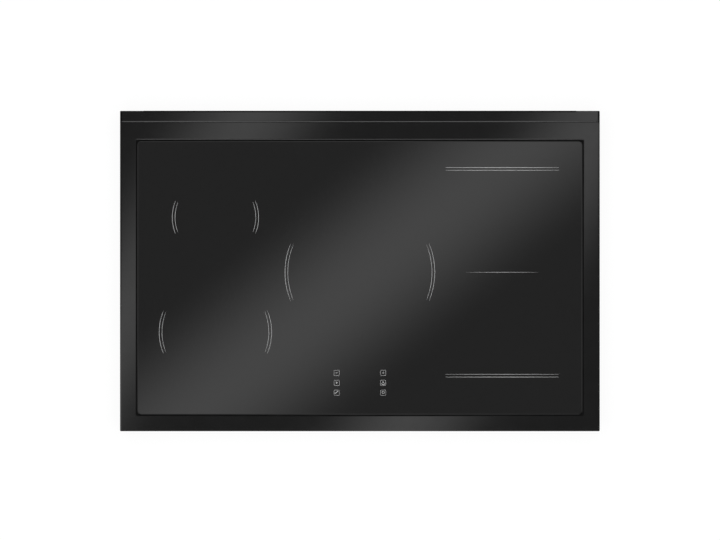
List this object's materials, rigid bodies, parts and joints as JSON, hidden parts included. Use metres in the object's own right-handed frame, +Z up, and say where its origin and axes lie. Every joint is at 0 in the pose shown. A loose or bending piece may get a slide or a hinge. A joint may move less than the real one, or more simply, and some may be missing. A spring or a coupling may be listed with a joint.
{
  "type": "induction cooktop",
  "caption": "Wide built-in induction cooktop: black glass plate in a satin black steel surround with a raised rear air outlet, over a sheet-steel casing of sprung coils, blowers and boards",
  "frame": {"origin": "bottom centre of the bounding box: under the middle of the base pan, on its underside", "axes": "+X to the right as the cook sees it, +Y to the rear edge with the air outlet, +Z up out of the glass"},
  "size_m": [0.898, 0.6, 0.074],
  "materials": {
    "enamelled_steel": "satin black enamel",
    "grille_enamel": "matt black enamel",
    "black_glass_ceramic": "polished opaque black glass-ceramic",
    "silicone": "black silicone",
    "seal_foam": "closed-cell foam",
    "galvanised_steel": "zinc-coated sheet",
    "clamp_steel": "zinc-plated pressed steel",
    "coil_plastic": "heat-resistant moulded plastic",
    "copper_litz": "enamelled copper litz wire",
    "ferrite": "sintered ferrite",
    "sensor_steel": "plain",
    "mica": "pressed mica sheet",
    "tray_aluminium": "mill",
    "spring_steel": "blued spring strip",
    "fan_plastic": "moulded",
    "rotor_plastic": "moulded",
    "circuit_board": "solder mask on glass laminate",
    "heatsink_aluminium": "extruded",
    "carrier_plastic": "moulded",
    "terminal_plastic": "moulded",
    "gland_plastic": "moulded"
  },
  "bodies": {
    "root": {"surround_frame": "enamelled_steel", "rear_ledge": "enamelled_steel", "rear_vent_grille": "grille_enamel", "glass_plate": "black_glass_ceramic", "glass_seal": "silicone", "worktop_seal": "seal_foam", "base_pan": "galvanised_steel", "cross_rail_front": "galvanised_steel", "cross_rail_rear": "galvanised_steel", "fan_housing_left": "fan_plastic", "fan_housing_right": "fan_plastic", "power_board_left": "circuit_board", "power_board_right": "circuit_board", "filter_board": "circuit_board", "control_board": "circuit_board", "heatsink_left": "heatsink_aluminium", "heatsink_right": "heatsink_aluminium", "control_carrier": "carrier_plastic", "terminal_box": "carrier_plastic", "terminal_block": "terminal_plastic", "cable_gland": "gland_plastic"},
    "fan_left": {"fan_rotor_left": "rotor_plastic"},
    "fan_right": {"fan_rotor_right": "rotor_plastic"},
    "terminal_hatch": {"terminal_cover": "galvanised_steel"},
    "clamp_front_left": {"worktop_clamp_front_left": "clamp_steel"},
    "clamp_front_right": {"worktop_clamp_front_right": "clamp_steel"},
    "clamp_rear_left": {"worktop_clamp_rear_left": "clamp_steel"},
    "clamp_rear_right": {"worktop_clamp_rear_right": "clamp_steel"},
    "tray_left": {"coil_tray_left": "tray_aluminium", "mica_sheet_left": "mica", "tray_spring_left_front": "spring_steel", "tray_spring_left_rear": "spring_steel", "coil_former_rear_left": "coil_plastic", "coil_winding_rear_left": "copper_litz", "ferrite_rear_left": "ferrite", "temperature_sensor_rear_left": "sensor_steel", "coil_former_front_left": "coil_plastic", "coil_winding_front_left": "copper_litz", "ferrite_front_left": "ferrite", "temperature_sensor_front_left": "sensor_steel"},
    "tray_centre": {"coil_tray_centre": "tray_aluminium", "mica_sheet_centre": "mica", "tray_spring_centre_front": "spring_steel", "tray_spring_centre_rear": "spring_steel", "coil_former_centre": "coil_plastic", "coil_winding_centre": "copper_litz", "ferrite_centre": "ferrite", "temperature_sensor_centre": "sensor_steel"},
    "tray_right": {"coil_tray_right": "tray_aluminium", "mica_sheet_right": "mica", "tray_spring_right_front": "spring_steel", "tray_spring_right_rear": "spring_steel", "coil_former_rear_right": "coil_plastic", "coil_winding_rear_right": "copper_litz", "ferrite_rear_right": "ferrite", "temperature_sensor_rear_right": "sensor_steel", "coil_former_front_right": "coil_plastic", "coil_winding_front_right": "copper_litz", "ferrite_front_right": "ferrite", "temperature_sensor_front_right": "sensor_steel"}
  },
  "joints": [
    {"name": "fan_left_spin", "type": "hinge", "parent": "root", "child": "fan_left", "pos_m": [-0.3, 0.17, 0.0165], "axis": [0, 0, 1], "continuous": true},
    {"name": "fan_right_spin", "type": "hinge", "parent": "root", "child": "fan_right", "pos_m": [0.3, 0.17, 0.0165], "axis": [0, 0, 1], "continuous": true},
    {"name": "tray_left_float", "type": "slide", "parent": "root", "child": "tray_left", "axis": [0, 0, -1], "range_m": [0, 0.004], "stiffness_N_per_m": 7000, "springref_m": -0.006, "deforming": ["tray_spring_left_front", "tray_spring_left_rear"]},
    {"name": "tray_centre_float", "type": "slide", "parent": "root", "child": "tray_centre", "axis": [0, 0, -1], "range_m": [0, 0.004], "stiffness_N_per_m": 7000, "springref_m": -0.006, "deforming": ["tray_spring_centre_front", "tray_spring_centre_rear"]},
    {"name": "tray_right_float", "type": "slide", "parent": "root", "child": "tray_right", "axis": [0, 0, -1], "range_m": [0, 0.004], "stiffness_N_per_m": 7000, "springref_m": -0.006, "deforming": ["tray_spring_right_front", "tray_spring_right_rear"]},
    {"name": "terminal_hatch_hinge", "type": "hinge", "parent": "root", "child": "terminal_hatch", "pos_m": [0.08, 0.1602, 0.0006], "axis": [-1, 0, 0], "range_deg": [0, 110]},
    {"name": "clamp_front_left_swing", "type": "hinge", "parent": "root", "child": "clamp_front_left", "pos_m": [-0.415, -0.245, 0.008], "axis": [0, 0, -1], "range_deg": [0, 90]},
    {"name": "clamp_front_right_swing", "type": "hinge", "parent": "root", "child": "clamp_front_right", "pos_m": [0.415, -0.245, 0.008], "axis": [0, 0, 1], "range_deg": [0, 90]},
    {"name": "clamp_rear_left_swing", "type": "hinge", "parent": "root", "child": "clamp_rear_left", "pos_m": [-0.415, 0.222, 0.008], "axis": [0, 0, 1], "range_deg": [0, 90]},
    {"name": "clamp_rear_right_swing", "type": "hinge", "parent": "root", "child": "clamp_rear_right", "pos_m": [0.415, 0.222, 0.008], "axis": [0, 0, -1], "range_deg": [0, 90]}
  ]
}
